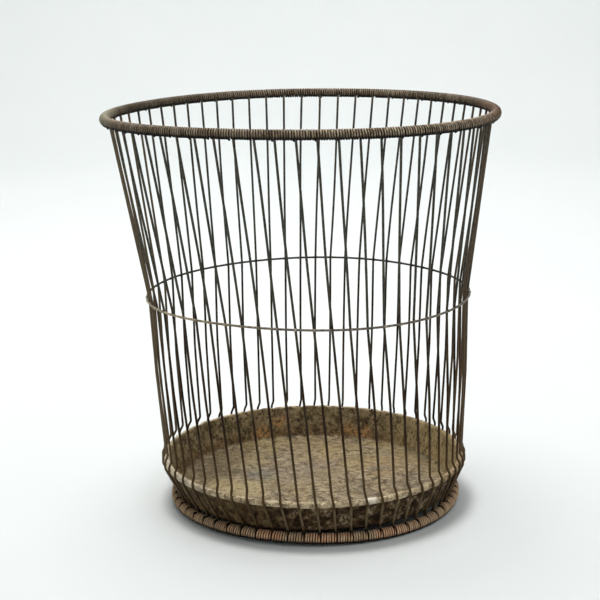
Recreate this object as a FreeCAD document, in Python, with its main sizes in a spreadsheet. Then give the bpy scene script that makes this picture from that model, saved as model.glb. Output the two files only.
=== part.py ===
import FreeCAD, Part
import Sketcher
import math
import os

# Wire fruit picking basket.
#
# Sixty wire uprights are wound round a heavy hoop at the top and another at the base, held
# to shape by a light hoop at half height.  A shallow sheet-steel pan with a wired edge sits
# in the bottom, caught by the uprights where they bend round its edge.
#
# Frame: origin on the floor at the centre of the base hoop, +Z up, millimetres and degrees.
# The basket leans and is a little out of round: each hoop has its own centre along X, and
# the two upper hoops swell at three places.  The uprights also turn about Z on their way
# down, and are not quite evenly spaced.

SIZES = (
    ("upright_count", 60),
    ("uprights_per_node", 2),
    ("upright_radius", 1.0),
    ("lobe_angle", 78.0),
    # top hoop: bare wire, and the roll that the uprights' ends make round it; a roll starts
    # a little ahead of its upright; the uprights drift round the hoop, and crowd at one side
    ("top_hoop_radius", 171.0),
    ("top_hoop_lobe", 5.0),
    ("top_hoop_offset", -8.2),
    ("top_hoop_height", 358.5),
    ("top_hoop_wire", 2.35),
    ("top_roll_radius", 4.45),
    ("top_turn", 2.4),
    ("top_sway", -1.6),
    ("top_drift", -1.05),
    ("top_crowd", 4.9),
    ("top_crowd_width", 28.0),
    ("top_lead", 1.3),
    # middle hoop, outside the uprights
    ("middle_hoop_radius", 146.6),
    ("middle_hoop_lobe", 0.6),
    ("middle_hoop_offset", -4.8),
    ("middle_hoop_height", 195.3),
    ("middle_hoop_wire", 1.0),
    ("middle_turn", 5.6),
    ("middle_sway", -2.3),
    # between the middle hoop and the pan the uprights bulge slightly
    ("belly_radius", 142.3),
    ("belly_height", 122.0),
    # pan: sheet steel, sloping wall, edge rolled over a wire; an upright goes on turning
    # about Z by the twist as it crosses the edge
    ("pan_offset", -1.4),
    ("pan_floor_height", 11.8),
    ("pan_sheet", 0.8),
    ("pan_wall_slope", 17.3),
    ("pan_corner_radius", 2.4),
    ("bead_centre_radius", 137.1),
    ("bead_height", 40.0),
    ("bead_radius", 2.65),
    ("pan_turn", 8.7),
    ("pan_sway", -3.6),
    ("pan_twist", 0.75),
    # base hoop, which the basket stands on; each upright meets it at the arrival angle above
    # the level of its centre
    ("base_hoop_radius", 129.8),
    ("base_hoop_wire", 2.8),
    ("base_roll_radius", 4.9),
    ("base_turn", 10.4),
    ("base_lead", 2.0),
    ("base_arrival", 25.0),
    # fits
    ("clearance", 0.05),
    ("roll_gap", 0.3),
)

NECK_ABOVE_BEAD = 9.6       # height over the bead's centre where an upright starts to swing out
SHOULDER_ABOVE_BEAD = 3.6   # and where it has come outside the bead
TUCK_BELOW_BEAD = 1.9       # and where it turns in under the bead
NECK_INSET = 0.9            # how far outside the bead's centre line the neck stands
BEND_TIGHT = 4.0            # bend radii of an upright, at the pan and higher up
BEND_GENTLE = 60.0
BEND_SLIGHT = 200.0
LOBES = 3
RING_POINTS = 36            # points that a whole hoop's centreline passes through
BAY_POINTS = 5              # and one bay's


def make_sheet(doc):
    """The spreadsheet of driving sizes, one aliased cell for each."""
    sheet = doc.addObject("Spreadsheet::Sheet", "Sizes")
    for row, (name, value) in enumerate(SIZES, start=1):
        sheet.set(f"A{row}", name)
        sheet.set(f"B{row}", str(value))
        sheet.setAlias(f"B{row}", name)
    doc.recompute()
    return sheet


class Ring:
    """A hoop's centreline: a circle that swells at three places, level, at its own height."""

    def __init__(self, radius, height, centre_x=0.0, lobe=0.0, lobe_angle=0.0):
        self.radius = radius
        self.height = height
        self.centre_x = centre_x
        self.lobe = lobe
        self.lobe_angle = lobe_angle

    def point(self, angle, inward=0.0):
        """The point at an angle in degrees, moved inward square to the centreline."""
        turn = math.radians(angle)
        phase = LOBES * math.radians(angle - self.lobe_angle)
        radius = self.radius + self.lobe * math.cos(phase)
        slope = -LOBES * self.lobe * math.sin(phase)
        along = FreeCAD.Vector(
            slope * math.cos(turn) - radius * math.sin(turn),
            slope * math.sin(turn) + radius * math.cos(turn),
            0,
        ).normalize()
        place = FreeCAD.Vector(
            self.centre_x + radius * math.cos(turn), radius * math.sin(turn), self.height
        )
        return place + FreeCAD.Vector(-along.y, along.x, 0) * inward

    def bay(self, start, stop):
        """The stretch of centreline between two angles."""
        step = (stop - start) / (BAY_POINTS - 1)
        curve = Part.BSplineCurve()
        curve.interpolate([self.point(start + k * step) for k in range(BAY_POINTS)])
        return curve


def origin_plane(body, role):
    return next(f for f in body.Origin.OriginFeatures if f.Role == role)


def plane_sketch(body, name, role):
    sketch = body.newObject("Sketcher::SketchObject", name)
    sketch.AttachmentSupport = (origin_plane(body, role), [""])
    sketch.MapMode = "FlatFace"
    return sketch


def bind_length(sketch, constraint, expression):
    """Adds a dimension to the sketch and ties it to the sheet."""
    index = sketch.addConstraint(constraint)
    sketch.renameConstraint(index, f"size_{index}")
    sketch.setExpression(f"Constraints.size_{index}", expression)


def make_hoop(doc, label, size, prefix):
    """A wire hoop swept round its own lobed centreline, first lobe on the body's +X."""
    body = doc.addObject("PartDesign::Body", label)
    body.Label = label
    flat = Ring(size(f"{prefix}_radius"), 0.0, 0.0, size(f"{prefix}_lobe"))
    curve = Part.BSplineCurve()
    curve.interpolate(
        Points=[flat.point(360.0 * k / RING_POINTS) for k in range(RING_POINTS)],
        PeriodicFlag=True,
    )
    path = plane_sketch(body, f"{label}_path", "XY_Plane")
    path.addGeometry(curve, False)

    section = plane_sketch(body, f"{label}_section", "XZ_Plane")
    centre = FreeCAD.Vector(flat.radius + flat.lobe, 0, 0)
    section.addGeometry(Part.Circle(centre, FreeCAD.Vector(0, 0, 1), size(f"{prefix}_wire")))
    section.addConstraint(Sketcher.Constraint("PointOnObject", 0, 3, -1))
    bind_length(
        section,
        Sketcher.Constraint("DistanceX", -1, 1, 0, 3, centre.x),
        f"Sizes.{prefix}_radius + Sizes.{prefix}_lobe",
    )
    bind_length(
        section,
        Sketcher.Constraint("Radius", 0, size(f"{prefix}_wire")),
        f"Sizes.{prefix}_wire",
    )
    doc.recompute()

    pipe = body.newObject("PartDesign::AdditivePipe", f"{label}_sweep")
    pipe.Profile = section
    pipe.Spine = (path, ["Edge1"])
    body.setExpression("Placement.Base.x", f"Sizes.{prefix}_offset")
    body.setExpression("Placement.Base.z", f"Sizes.{prefix}_height")
    body.Placement = FreeCAD.Placement(
        FreeCAD.Vector(size(f"{prefix}_offset"), 0, size(f"{prefix}_height")),
        FreeCAD.Rotation(FreeCAD.Vector(0, 0, 1), size("lobe_angle")),
    )
    return body


def make_torus(doc, label, major, minor, centre_x, height):
    """A round hoop of round wire, each size an expression on the sheet."""
    torus = doc.addObject("Part::Torus", label)
    torus.Label = label
    torus.setExpression("Radius1", major)
    torus.setExpression("Radius2", minor)
    torus.setExpression("Placement.Base.x", centre_x)
    torus.setExpression("Placement.Base.z", height)
    return torus


def make_pan(doc, label, size):
    """The pan: floor and sloping wall turned from one outline, and its rolled edge."""
    body = doc.addObject("PartDesign::Body", label)
    body.Label = label
    reach = "Sizes.bead_centre_radius"
    lift = "Sizes.bead_height"
    curl = "Sizes.bead_radius"
    bore = "(Sizes.bead_radius - Sizes.pan_sheet)"
    slope = "Sizes.pan_wall_slope"
    low = "Sizes.pan_floor_height"
    high = "(Sizes.pan_floor_height + Sizes.pan_sheet)"
    # each corner of the outline: its distance from the axis and its height, as expressions
    outer_top = (f"{reach} - {bore} * cos({slope})", f"{lift} + {bore} * sin({slope})")
    inner_top = (f"{reach} - {curl} * cos({slope})", f"{lift} + {curl} * sin({slope})")
    outer_foot = (f"{outer_top[0]} - ({outer_top[1]} - {low}) * tan({slope})", low)
    inner_foot = (f"{inner_top[0]} - ({inner_top[1]} - {high}) * tan({slope})", high)
    corners = (("0", low), outer_foot, outer_top, inner_top, inner_foot, ("0", high))

    # a first drawing of the outline, which the bound dimensions then make exact
    angle = math.radians(size("pan_wall_slope"))
    floor = size("pan_floor_height")
    sheet = size("pan_sheet")
    centre = FreeCAD.Vector(size("bead_centre_radius"), size("bead_height"), 0)
    normal = FreeCAD.Vector(-math.cos(angle), math.sin(angle), 0)
    down = FreeCAD.Vector(-math.tan(angle), -1, 0)
    outer = centre + normal * (size("bead_radius") - sheet)
    inner = centre + normal * size("bead_radius")
    outline = (
        FreeCAD.Vector(0, floor, 0),
        outer + down * (outer.y - floor),
        outer,
        inner,
        inner + down * (inner.y - floor - sheet),
        FreeCAD.Vector(0, floor + sheet, 0),
    )
    sketch = plane_sketch(body, "pan_outline", "XZ_Plane")
    for k, corner in enumerate(outline):
        sketch.addGeometry(Part.LineSegment(corner, outline[(k + 1) % len(outline)]))
    for k in range(len(outline)):
        sketch.addConstraint(Sketcher.Constraint("Coincident", k, 2, (k + 1) % len(outline), 1))
    for k, (across, up) in enumerate(corners):
        if across == "0":
            sketch.addConstraint(Sketcher.Constraint("PointOnObject", k, 1, -2))
        else:
            bind_length(
                sketch, Sketcher.Constraint("DistanceX", -1, 1, k, 1, outline[k].x), across
            )
        bind_length(sketch, Sketcher.Constraint("DistanceY", -1, 1, k, 1, outline[k].y), up)
    doc.recompute()
    shell = body.newObject("PartDesign::Revolution", "pan_floor_and_wall")
    shell.Profile = sketch
    shell.ReferenceAxis = (sketch, ["V_Axis"])
    shell.Angle = 360.0
    doc.recompute()

    corner = body.newObject("PartDesign::Fillet", "pan_corner")
    names = []
    for number, edge in enumerate(shell.Shape.Edges, start=1):
        round_edge = isinstance(edge.Curve, Part.Circle)
        if round_edge and edge.BoundBox.ZMax < floor + 2 * sheet:
            names.append(f"Edge{number}")
    corner.Base = (shell, names)
    corner.setExpression("Radius", "Sizes.pan_corner_radius")
    doc.recompute()
    if math.isclose(corner.Shape.Volume, shell.Shape.Volume):
        raise RuntimeError("the pan's corner was not rounded")

    bead = plane_sketch(body, "pan_bead_section", "XZ_Plane")
    radii = ((size("bead_radius"), curl), (size("bead_radius") - sheet, bore))
    for k, (radius, expression) in enumerate(radii):
        bead.addGeometry(Part.Circle(centre, FreeCAD.Vector(0, 0, 1), radius))
        bind_length(bead, Sketcher.Constraint("DistanceX", -1, 1, k, 3, centre.x), reach)
        bind_length(bead, Sketcher.Constraint("DistanceY", -1, 1, k, 3, centre.y), lift)
        bind_length(bead, Sketcher.Constraint("Radius", k, radius), expression)
    doc.recompute()
    roll = body.newObject("PartDesign::Revolution", "pan_rolled_edge")
    roll.Profile = bead
    roll.ReferenceAxis = (bead, ["V_Axis"])
    roll.Angle = 360.0
    body.Tip = roll
    body.setExpression("Placement.Base.x", "Sizes.pan_offset")
    return body


def bent_wire(points, bends, radius):
    """A round wire along straight runs, with a tangent arc of its own radius at each bend."""
    edges = []
    start = points[0]
    for before, corner, after, bend in zip(points, points[1:], points[2:], bends):
        into = (corner - before).normalize()
        away = (after - corner).normalize()
        half = into.getAngle(away) / 2
        cut = bend * math.tan(half)
        first = corner - into * cut
        last = corner + away * cut
        middle = corner + (away - into).normalize() * (bend / math.cos(half) - bend)
        edges.append(Part.LineSegment(start, first).toShape())
        edges.append(Part.Arc(first, middle, last).toShape())
        start = last
    edges.append(Part.LineSegment(start, points[-1]).toShape())
    section = Part.Wire(Part.makeCircle(radius, points[0], points[1] - points[0]))
    return Part.Wire(edges).makePipeShell([section], True, False)


def roll_of_turns(ring, start, stop, bore, outside):
    """The sleeve that an upright's close turns make round a hoop, between two angles."""
    path = ring.bay(start, stop)
    end = path.value(path.FirstParameter)
    along = path.tangent(path.FirstParameter)[0]
    tubes = []
    for radius in (outside, bore):
        section = Part.Wire(Part.makeCircle(radius, end, along))
        tubes.append(Part.Wire(path.toShape()).makePipeShell([section], True, False))
    return tubes[0].cut(tubes[1])


class Weave:
    """Where the uprights run: the rings they follow, and their angle on each."""

    def __init__(self, size):
        self.size = size
        self.wire = size("upright_radius")
        self.step = 360.0 / size("upright_count")
        self.gap = size("clearance")
        self.top = self.hoop_ring("top_hoop")
        self.middle = self.hoop_ring("middle_hoop")
        self.belly = Ring(
            size("belly_radius"),
            size("belly_height"),
            (size("middle_hoop_offset") + size("pan_offset")) / 2,
        )
        self.base = Ring(size("base_hoop_radius"), size("base_roll_radius"))

    def hoop_ring(self, prefix):
        """The centreline of one of the two lobed hoops."""
        size = self.size
        return Ring(
            size(f"{prefix}_radius"),
            size(f"{prefix}_height"),
            size(f"{prefix}_offset"),
            size(f"{prefix}_lobe"),
            size("lobe_angle"),
        )

    def angle(self, number, turn, sway):
        """An upright's angle on a ring: its even share, the turn there and the sway."""
        share = number * self.step
        return share + self.size(turn) + self.size(sway) * math.sin(math.radians(share))

    def top_angle(self, number):
        """An upright's angle on the top hoop, with the drift and the crowding there."""
        share = number * self.step
        aside = (share + 180.0) % 360.0 - 180.0
        crowd = self.size("top_crowd") * math.exp(-((aside / self.size("top_crowd_width")) ** 2))
        drift = self.size("top_drift") * math.cos(math.radians(share))
        return self.angle(number, "top_turn", "top_sway") + drift - crowd

    def base_angle(self, number):
        """An upright's angle on the base hoop."""
        return self.angle(number, "base_turn", "pan_sway")

    def bead_ring(self, outward, rise):
        size = self.size
        return Ring(
            size("bead_centre_radius") + outward, size("bead_height") + rise, size("pan_offset")
        )

    def route(self, number):
        """The upright's corner points, from the top hoop's inner side to the base hoop's."""
        size = self.size
        at_top = self.top_angle(number)
        at_middle = self.angle(number, "middle_turn", "middle_sway")
        at_pan = self.angle(number, "pan_turn", "pan_sway")
        at_base = self.base_angle(number)
        round_top = size("top_hoop_wire") + self.wire + self.gap
        round_base = size("base_hoop_wire") + self.wire + 2 * self.gap
        arrival = math.radians(size("base_arrival"))
        base_inside = round_base * math.cos(arrival)
        base_above = FreeCAD.Vector(0, 0, round_base * math.sin(arrival))
        behind_middle = size("middle_hoop_wire") + self.wire + 4 * self.gap
        outside_bead = size("bead_radius") + self.wire + 4 * self.gap
        twist = size("pan_twist")
        return (
            self.top.point(at_top, round_top),
            self.middle.point(at_middle, behind_middle),
            self.belly.point((at_middle + at_pan) / 2),
            self.bead_ring(NECK_INSET, NECK_ABOVE_BEAD).point(at_pan),
            self.bead_ring(outside_bead + self.gap, SHOULDER_ABOVE_BEAD).point(at_pan + twist / 2),
            self.bead_ring(outside_bead, -TUCK_BELOW_BEAD).point(at_pan + twist),
            self.base.point(at_base, base_inside) + base_above,
        )

    def upright(self, number):
        """One upright: its run, and its two ends wound round the hoops as plain sleeves."""
        size = self.size
        solid = bent_wire(
            self.route(number),
            (BEND_GENTLE, BEND_SLIGHT, BEND_TIGHT, BEND_TIGHT, BEND_TIGHT),
            self.wire,
        )
        rolls = []
        ends = ((self.top, "top", self.top_angle), (self.base, "base", self.base_angle))
        for ring, end, angle_of in ends:
            lead = math.degrees(size(f"{end}_lead") / ring.radius)
            space = math.degrees(size("roll_gap") / ring.radius)
            start = angle_of(number) - lead
            stop = angle_of(number + 1) - lead - space
            bore = size(f"{end}_hoop_wire") + self.gap / 2
            rolls.append(roll_of_turns(ring, start, stop, bore, size(f"{end}_roll_radius")))
        return solid.fuse(rolls).removeSplitter().Solids[0]


def make_uprights(doc, size):
    """The uprights, some to a node, each a solid of its own."""
    weave = Weave(size)
    per_node = int(size("uprights_per_node"))
    nodes = []
    for first in range(0, int(size("upright_count")), per_node):
        label = f"upright_pair_{first // per_node + 1:02d}"
        feature = doc.addObject("Part::Feature", label)
        feature.Label = label
        feature.Shape = Part.makeCompound([weave.upright(first + k) for k in range(per_node)])
        feature.Placement = FreeCAD.Placement()
        nodes.append(feature)
    return nodes


def check(doc, nodes):
    """Stops unless every object is up to date and every sub-part is a sound shape."""
    for item in doc.Objects:
        if "Invalid" in item.State or "Error" in item.State:
            raise RuntimeError(f"{item.Name} is {item.State}")
    for node in nodes:
        if node.Shape.isNull() or not node.Shape.isValid():
            raise RuntimeError(f"{node.Label} has no valid shape")


def main():
    doc = FreeCAD.newDocument("fruit_picker_basket")
    sheet = make_sheet(doc)

    def size(name):
        return float(sheet.get(name))

    nodes = [
        make_hoop(doc, "top_hoop", size, "top_hoop"),
        make_hoop(doc, "middle_hoop", size, "middle_hoop"),
        make_torus(
            doc,
            "base_hoop",
            "Sizes.base_hoop_radius",
            "Sizes.base_hoop_wire",
            "0",
            "Sizes.base_roll_radius",
        ),
        make_pan(doc, "pan", size),
        make_torus(
            doc,
            "pan_edge_wire",
            "Sizes.bead_centre_radius",
            "Sizes.bead_radius - Sizes.pan_sheet - Sizes.clearance",
            "Sizes.pan_offset",
            "Sizes.bead_height",
        ),
    ]
    nodes += make_uprights(doc, size)
    doc.recompute()
    check(doc, nodes)
    os.makedirs("parts", exist_ok=True)
    for node in nodes:
        node.Shape.exportStep(f"parts/{node.Label}.step")
        print(f"{node.Label}: {len(node.Shape.Solids)} solids, {node.Shape.Volume:.0f} mm3")


main()
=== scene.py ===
import math
import random

import bpy
import numpy as np
from mathutils import Matrix


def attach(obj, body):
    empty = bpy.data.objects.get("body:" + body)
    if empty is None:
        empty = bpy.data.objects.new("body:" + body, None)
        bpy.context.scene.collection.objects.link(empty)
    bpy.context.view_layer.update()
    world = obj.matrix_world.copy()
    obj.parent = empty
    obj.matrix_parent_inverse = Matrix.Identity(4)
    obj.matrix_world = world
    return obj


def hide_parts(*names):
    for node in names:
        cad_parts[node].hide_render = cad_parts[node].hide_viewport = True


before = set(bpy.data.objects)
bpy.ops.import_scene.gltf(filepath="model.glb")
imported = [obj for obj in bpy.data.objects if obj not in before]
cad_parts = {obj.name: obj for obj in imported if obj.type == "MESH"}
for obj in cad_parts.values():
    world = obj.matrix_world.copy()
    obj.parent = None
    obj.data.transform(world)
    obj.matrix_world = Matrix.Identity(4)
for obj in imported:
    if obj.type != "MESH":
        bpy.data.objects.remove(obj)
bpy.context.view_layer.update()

# Wire fruit picking basket: sixty wound uprights, three hoops and a rusted sheet-metal pan.
# Shapes are worked out in millimetres and degrees in the CAD frame, and turned into metres
# as meshes. Materials, lights and the camera are in metres.

MM = 0.001
UP = np.array([0.0, 0.0, 1.0])
UPRIGHTS = 60
STEP = 360.0 / UPRIGHTS

# the CAD sizes that the pieces follow; a wire's size is its radius
LOBES, LOBE_ANGLE = 3, 78.0
WIRE, TOP_WIRE, MIDDLE_WIRE, BASE_WIRE = 1.0, 2.35, 1.0, 2.8
TOP_TURN, TOP_SWAY, TOP_DRIFT = 2.4, -1.6, -1.05
TOP_CROWD, TOP_CROWD_WIDTH = 4.9, 28.0
MIDDLE_TURN, MIDDLE_SWAY = 5.6, -2.3
PAN_TURN, PAN_SWAY, PAN_TWIST = 8.7, -3.6, 0.75
BASE_TURN = 10.4
PAN_X, PAN_FLOOR, PAN_SHEET, PAN_SLOPE = -1.4, 11.8, 0.8, 17.3
BEAD_REACH, BEAD_HEIGHT, BEAD_RADIUS = 137.1, 40.0, 2.65

# the uprights' wire as drawn, a little thicker with rust than the CAD's
THICK = 1.08

# the base hoop stands on three places and rises between them, to twice this
BASE_RISE = 1.15


def ramp(value, start, end):
    """0 at start, 1 at end and straight between; end may be the smaller."""
    return np.clip((value - start) / (end - start), 0, 1)


def wrapped(arc):
    """Angles in radians, brought to within half a turn either way."""
    return (arc + math.pi) % math.tau - math.pi


def waves(*terms):
    """A hoop's rise and fall round its length: waves of a height, a count and a peak angle."""

    def value(angle):
        return sum(size * np.cos(count * np.radians(angle - peak)) for size, count, peak in terms)

    return value


def wave_noise(rng, count, low, high):
    """A smooth random function of one variable, of unit size: a sum of sine waves."""
    terms = [(rng.uniform(low, high), rng.uniform(0, math.tau)) for _ in range(count)]

    def value(x):
        return sum(np.sin(x * rate + phase) for rate, phase in terms) / math.sqrt(count / 2)

    return value


def plane_waves(rng, count, short, long):
    """A smooth random surface over a plane: a sum of waves that run all ways."""
    terms = []
    for _ in range(count):
        way = rng.uniform(0, math.tau)
        rate = math.tau / rng.uniform(short, long)
        terms.append((rate * math.cos(way), rate * math.sin(way), rng.uniform(0, math.tau)))

    def value(x, y):
        return sum(np.sin(a * x + b * y + c) for a, b, c in terms) / math.sqrt(count / 2)

    return value


class Ring:
    """A hoop's centreline: a circle that swells at three places, and is not quite level."""

    def __init__(self, radius, height, centre_x=0.0, lobe=0.0, rise=waves()):
        self.radius = radius
        self.height = height
        self.centre_x = centre_x
        self.lobe = lobe
        self.rise = rise

    def axes(self, angle):
        """Points at angles in degrees, and there the directions inward and along."""
        turn = np.radians(angle)
        phase = LOBES * np.radians(angle - LOBE_ANGLE)
        radius = self.radius + self.lobe * np.cos(phase)
        slope = -LOBES * self.lobe * np.sin(phase)
        zero = np.zeros_like(turn)
        height = zero + self.height + self.rise(angle)
        place = np.stack(
            [self.centre_x + radius * np.cos(turn), radius * np.sin(turn), height], -1
        )
        along = np.stack(
            [
                slope * np.cos(turn) - radius * np.sin(turn),
                slope * np.sin(turn) + radius * np.cos(turn),
                zero,
            ],
            -1,
        )
        along /= np.linalg.norm(along, axis=-1, keepdims=True)
        inward = np.stack([-along[..., 1], along[..., 0], zero], -1)
        return place, inward, along

    def point(self, angle, inward=0.0, up=0.0):
        """The point at one angle, moved inward and up."""
        place, inside, _ = self.axes(np.asarray(float(angle)))
        return place + inside * inward + UP * up


# the hoops' waves are left out of the CAD: a slight tilt at the top, and a wandering middle
TOP = Ring(
    radius=171.0, height=358.5, centre_x=-8.2, lobe=5.0,
    rise=waves((1.5, 1, 13.0), (0.45, 3, 5.0)),
)
MIDDLE = Ring(
    radius=146.6, height=195.3, centre_x=-4.8, lobe=0.6,
    rise=waves((0.9, 1, -8.0), (0.7, 2, 63.0), (0.6, 3, -11.0), (0.4, 4, -22.0)),
)
BELLY = Ring(radius=142.3, height=122.0, centre_x=-3.1)
BASE = Ring(radius=129.8, height=4.9 + BASE_RISE, rise=waves((BASE_RISE, 3, -107.0)))


def edge_ring(outward, rise):
    """A circle that keeps its distance from the centreline of the pan's rolled edge."""
    return Ring(BEAD_REACH + outward, BEAD_HEIGHT + rise, PAN_X)


def upright_angle(number, turn, sway):
    """An upright's angle on a hoop: its even share, turned, and swaying once round."""
    share = number * STEP
    return share + turn + sway * math.sin(math.radians(share))


def top_angle(number):
    """On the top hoop the uprights also drift, and crowd together on the right."""
    share = number * STEP
    aside = (share + 180.0) % 360.0 - 180.0
    crowd = TOP_CROWD * math.exp(-((aside / TOP_CROWD_WIDTH) ** 2))
    drift = TOP_DRIFT * math.cos(math.radians(share))
    return upright_angle(number, TOP_TURN, TOP_SWAY) + drift - crowd


def middle_angle(number):
    return upright_angle(number, MIDDLE_TURN, MIDDLE_SWAY)


def pan_angle(number):
    return upright_angle(number, PAN_TURN, PAN_SWAY)


def base_angle(number):
    return upright_angle(number, BASE_TURN, PAN_SWAY)


# ---------------------------------------------------------------- meshes


def new_piece(name, points, faces, node, material):
    """A mesh piece from points in millimetres; it rides on the basket and replaces a node."""
    mesh = bpy.data.meshes.new(name)
    mesh.from_pydata((np.asarray(points) * MM).tolist(), [], faces)
    mesh.validate()
    mesh.update()
    mesh.polygons.foreach_set("use_smooth", [True] * len(mesh.polygons))
    piece = bpy.data.objects.new(name, mesh)
    bpy.context.scene.collection.objects.link(piece)
    mesh.materials.append(material)
    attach(piece, "root")
    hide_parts(node)
    return piece


def set_values(piece, name, values):
    """Gives each point of a piece a number that its material reads."""
    layer = piece.data.attributes.new(name, "FLOAT", "POINT")
    layer.data.foreach_set("value", np.asarray(values, dtype=float).ravel())


def grid_faces(rows, columns, closed=False, flip=False, first=0):
    """Four-sided faces between rows of points, where each row runs round and meets itself."""
    faces = []
    for k in range(rows if closed else rows - 1):
        here = first + k * columns
        there = first + (k + 1) % rows * columns
        for j in range(columns):
            after = (j + 1) % columns
            a, b, c, d = here + j, here + after, there + after, there + j
            faces.append((a, d, c, b) if flip else (a, b, c, d))
    return faces


def hoop_points(centre, inward, radius, turn):
    """Points of a hoop's surface; turn runs round its section, up from the inner side."""
    points = (
        centre[:, None, :]
        + inward[:, None, :] * (radius * np.cos(turn))[..., None]
        + UP * (radius * np.sin(turn))[..., None]
    )
    return points.reshape(-1, 3)


# a path that sets out with a sine below this from straight up takes its sides from x
NEARLY_UPRIGHT = 0.1


def carried_frames(path):
    """Two directions square to the path at each point, turned no more than they must be."""
    ahead = np.gradient(path, axis=0)
    ahead /= np.linalg.norm(ahead, axis=1, keepdims=True)
    first = np.empty_like(path)
    side = np.cross(ahead[0], UP)
    if np.linalg.norm(side) < NEARLY_UPRIGHT:
        side = np.cross(ahead[0], [1.0, 0.0, 0.0])
    first[0] = side / np.linalg.norm(side)
    for k in range(1, len(path)):
        side = first[k - 1] - ahead[k] * np.dot(first[k - 1], ahead[k])
        first[k] = side / np.linalg.norm(side)
    return first, np.cross(ahead, first)


def tube(path, radii, sides):
    """Points and faces of a round wire along an open path, its ends cut square."""
    first, second = carried_frames(path)
    turn = np.arange(sides) * math.tau / sides
    ring = (
        np.cos(turn)[None, :, None] * first[:, None, :]
        + np.sin(turn)[None, :, None] * second[:, None, :]
    )
    points = path[:, None, :] + ring * np.asarray(radii)[:, None, None]
    count = len(path)
    faces = grid_faces(count, sides)
    faces.append(tuple(range(sides - 1, -1, -1)))
    faces.append(tuple(range((count - 1) * sides, count * sides)))
    return points.reshape(-1, 3), faces


# ---------------------------------------------------------------- uprights

UPRIGHT_SEED = 1000
COIL_STEPS = 20
TUBE_SIDES = 12

# the wire's play against the pan's edge and the middle hoop, and its slant as it meets
# the top and base hoops
PLAY = 0.2
TOP_LEAN, BASE_LEAN = 8.2, 25.0

# the bends at the pan's edge, out and up from the edge's centreline; the lower two are
# pressed into its nips
OUTSIDE = BEAD_RADIUS + WIRE + PLAY
BEND_ABOVE = (0.7, 9.6)
BEND_OVER = (OUTSIDE - 0.25, 3.6)
BEND_UNDER = (OUTSIDE - 0.30, -1.9)
BEND_RADII = (60.0, 200.0, 4.0, 4.0, 4.0)
RUN_SPACING, ARC_SPACING = 9.0, 9.0

# how far a wire strays sideways from straight, at most: above the middle hoop, below it
# down to a height just over the pan, and in an S above it
UPPER_BOW, LOWER_BOW, UPPER_SWERVE = 0.9, 0.6, 0.25
LOWER_SPAN_END = 52.0

# the windings: the length of hoop that a turn takes, the turns in a bay, the gap left at
# the end of a bay, and how much a turn may be pushed along the hoop or lifted off it
TOP_TURN_LENGTH, TOP_TURNS_SHORT, TOP_GAP, TOP_CUT_PLAY = 2.24, 0.30, 0.25, 0.04
BASE_CELLS, BASE_TURNS, BASE_GAP, BASE_CUT_PLAY = 6, 5.80, 0.70, 0.05
COIL_SHOVE, COIL_LIFT = 0.06, 0.04

# the cut end springs out from the hoop over the last part of a turn, and is rubbed thinner
TAIL_SHARE, TAIL_LIFT, CUT_SHARE = 0.14, 1.3, 0.86
THICKNESS_PLAY = 0.02

# towards a base winding's cut end its crest is marked lower, so it takes the painted groove shade
# and shows as a dark groove
END_CREST, END_CREST_RISE = 0.74, 1.2


def rounded_run(corners, bends):
    """Points along straight runs with an arc at each bend."""
    path = [corners[0]]
    start = corners[0]

    def straight(a, b):
        parts = max(1, int(np.linalg.norm(b - a) / RUN_SPACING))
        path.extend(a + (b - a) * k / parts for k in range(1, parts + 1))

    for before, corner, after, bend in zip(corners, corners[1:], corners[2:], bends):
        into = (corner - before) / np.linalg.norm(corner - before)
        away = (after - corner) / np.linalg.norm(after - corner)
        half = math.acos(np.clip(np.dot(into, away), -1, 1)) / 2
        cut = bend * math.tan(half)
        first = corner - into * cut
        centre = corner + (away - into) / np.linalg.norm(away - into) * bend / math.cos(half)
        straight(start, first)
        steps = max(2, math.ceil(math.degrees(2 * half) / ARC_SPACING))
        out = (first - centre) / bend
        for k in range(1, steps + 1):
            turn = 2 * half * k / steps
            path.append(centre + bend * (out * math.cos(turn) + into * math.sin(turn)))
        start = path[-1]
    straight(start, corners[-1])
    return np.array(path)


def coil(ring, start, phase, turns, pitch, reach, way, rng):
    """Close turns round a hoop, from an angle on it; way is +1 to rise on the inner side."""
    u = np.linspace(0, turns, int(turns * COIL_STEPS) + 1)
    uneven = wave_noise(rng, count=3, low=1.0, high=4.0)
    lift = wave_noise(rng, count=3, low=2.0, high=6.0)
    begun = np.minimum(u, 1)
    along = pitch * u + COIL_SHOVE * (uneven(u) - uneven(0.0)) * begun
    place, inward, _ = ring.axes(start + np.degrees(along / ring.radius))
    phi = phase + way * math.tau * u
    tail = ramp(u - turns, -TAIL_SHARE, 0.0)
    out = reach + COIL_LIFT * lift(u) * begun + TAIL_LIFT * tail**2
    path = place + inward * (out * np.cos(phi))[:, None] + UP * (out * np.sin(phi))[:, None]
    return path, place


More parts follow.
